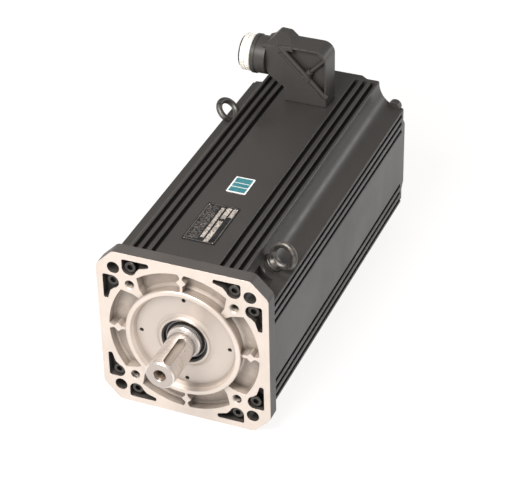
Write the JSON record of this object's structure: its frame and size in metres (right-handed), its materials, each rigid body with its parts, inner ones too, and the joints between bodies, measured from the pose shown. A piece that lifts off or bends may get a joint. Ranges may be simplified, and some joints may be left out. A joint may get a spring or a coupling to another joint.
{
  "type": "servo motor",
  "caption": "Servo motor with square machined flange, keyed shaft, finned square housing with corner notches, angled power connector and lifting eye bolts.",
  "frame": {"origin": "centre of the mounting flange's front face, on the shaft axis", "axes": "Y along the shaft axis, with the shaft end pointing to -Y and the housing towards +Y; +Z towards the face that carries the connector and the plates; +X to the right seen from the shaft end side looking along +Y"},
  "size_m": [0.1976, 0.496, 0.2691],
  "materials": {
    "machined_aluminium": "machined face, dark painted sides",
    "body_paint": "satin dark grey powder coat",
    "black_steel": "black oxide",
    "cast_aluminium": "as cast",
    "spring_steel": "phosphated",
    "forged_steel": "forged, dull",
    "plate_black": "printed aluminium plate",
    "rivet_aluminium": "bright",
    "badge_film": "printed film",
    "connector_grey": "satin dark grey coat",
    "seal_rubber": "moulded",
    "insulator": "moulded",
    "contact_brass": "turned",
    "lead_insulation": "satin sheath",
    "lamination_steel": "stacked sheet",
    "winding_enamel": "enamelled copper",
    "bearing_steel": "ground",
    "circuit_board": "solder mask",
    "shaft_steel": "ground",
    "magnet_black": "nickel plated",
    "sleeve_composite": "wound fibre",
    "encoder_glass": "clear",
    "nickel": "bright nickel plate"
  },
  "bodies": {
    "housing": {"front_end_shield": "machined_aluminium", "flange_screws": "black_steel", "housing_shell": "body_paint", "rear_end_shield": "cast_aluminium", "rear_shield_ring": "spring_steel", "rear_cover": "body_paint", "rear_cover_screws": "black_steel", "eye_bolt_front": "forged_steel", "eye_bolt_rear": "forged_steel", "name_plate": "plate_black", "name_plate_rivets": "rivet_aluminium", "badge": "badge_film", "connector_body": "connector_grey", "connector_cover": "connector_grey", "connector_gasket": "seal_rubber", "connector_base_screws": "black_steel", "connector_cover_screws": "black_steel", "connector_insert": "insulator", "connector_pins": "contact_brass", "power_leads": "lead_insulation", "stator_core": "lamination_steel", "stator_windings": "winding_enamel", "slot_liners": "insulator", "slot_wedges": "insulator", "front_bearing_outer_ring": "bearing_steel", "rear_bearing_outer_ring": "bearing_steel", "bearing_retainer": "cast_aluminium", "retainer_screws": "black_steel", "wave_spring": "spring_steel", "shaft_seal": "seal_rubber", "seal_spring": "spring_steel", "encoder_housing": "cast_aluminium", "encoder_screws": "black_steel", "encoder_board": "circuit_board"},
    "rotor": {"shaft": "shaft_steel", "rotor_core": "lamination_steel", "rotor_magnets": "magnet_black", "rotor_sleeve": "sleeve_composite", "rotor_end_rings": "cast_aluminium", "front_bearing_inner_ring": "bearing_steel", "rear_bearing_inner_ring": "bearing_steel", "encoder_hub": "contact_brass", "encoder_disc": "encoder_glass"},
    "front_cage": {"front_bearing_cage": "contact_brass", "front_bearing_balls": "bearing_steel"},
    "rear_cage": {"rear_bearing_cage": "contact_brass", "rear_bearing_balls": "bearing_steel"},
    "plug_ring": {"coupling_ring": "nickel"}
  },
  "joints": [
    {"name": "rotor_spin", "type": "hinge", "parent": "housing", "child": "rotor", "pos_m": [0, 0, 0], "axis": [0, 1, 0], "continuous": true},
    {"name": "front_cage_spin", "type": "hinge", "parent": "housing", "child": "front_cage", "pos_m": [0, 0.0295, 0], "axis": [0, 1, 0], "continuous": true},
    {"name": "rear_cage_spin", "type": "hinge", "parent": "housing", "child": "rear_cage", "pos_m": [0, 0.3185, 0], "axis": [0, 1, 0], "continuous": true},
    {"name": "coupling_ring_turn", "type": "hinge", "parent": "housing", "child": "plug_ring", "pos_m": [-0.07, 0.363, 0.142], "axis": [1, 0, 0], "continuous": true}
  ],
  "couplings": [
    {"joint": "front_cage_spin", "follows": "rotor_spin", "ratio": 0.384},
    {"joint": "rear_cage_spin", "follows": "rotor_spin", "ratio": 0.39626}
  ]
}
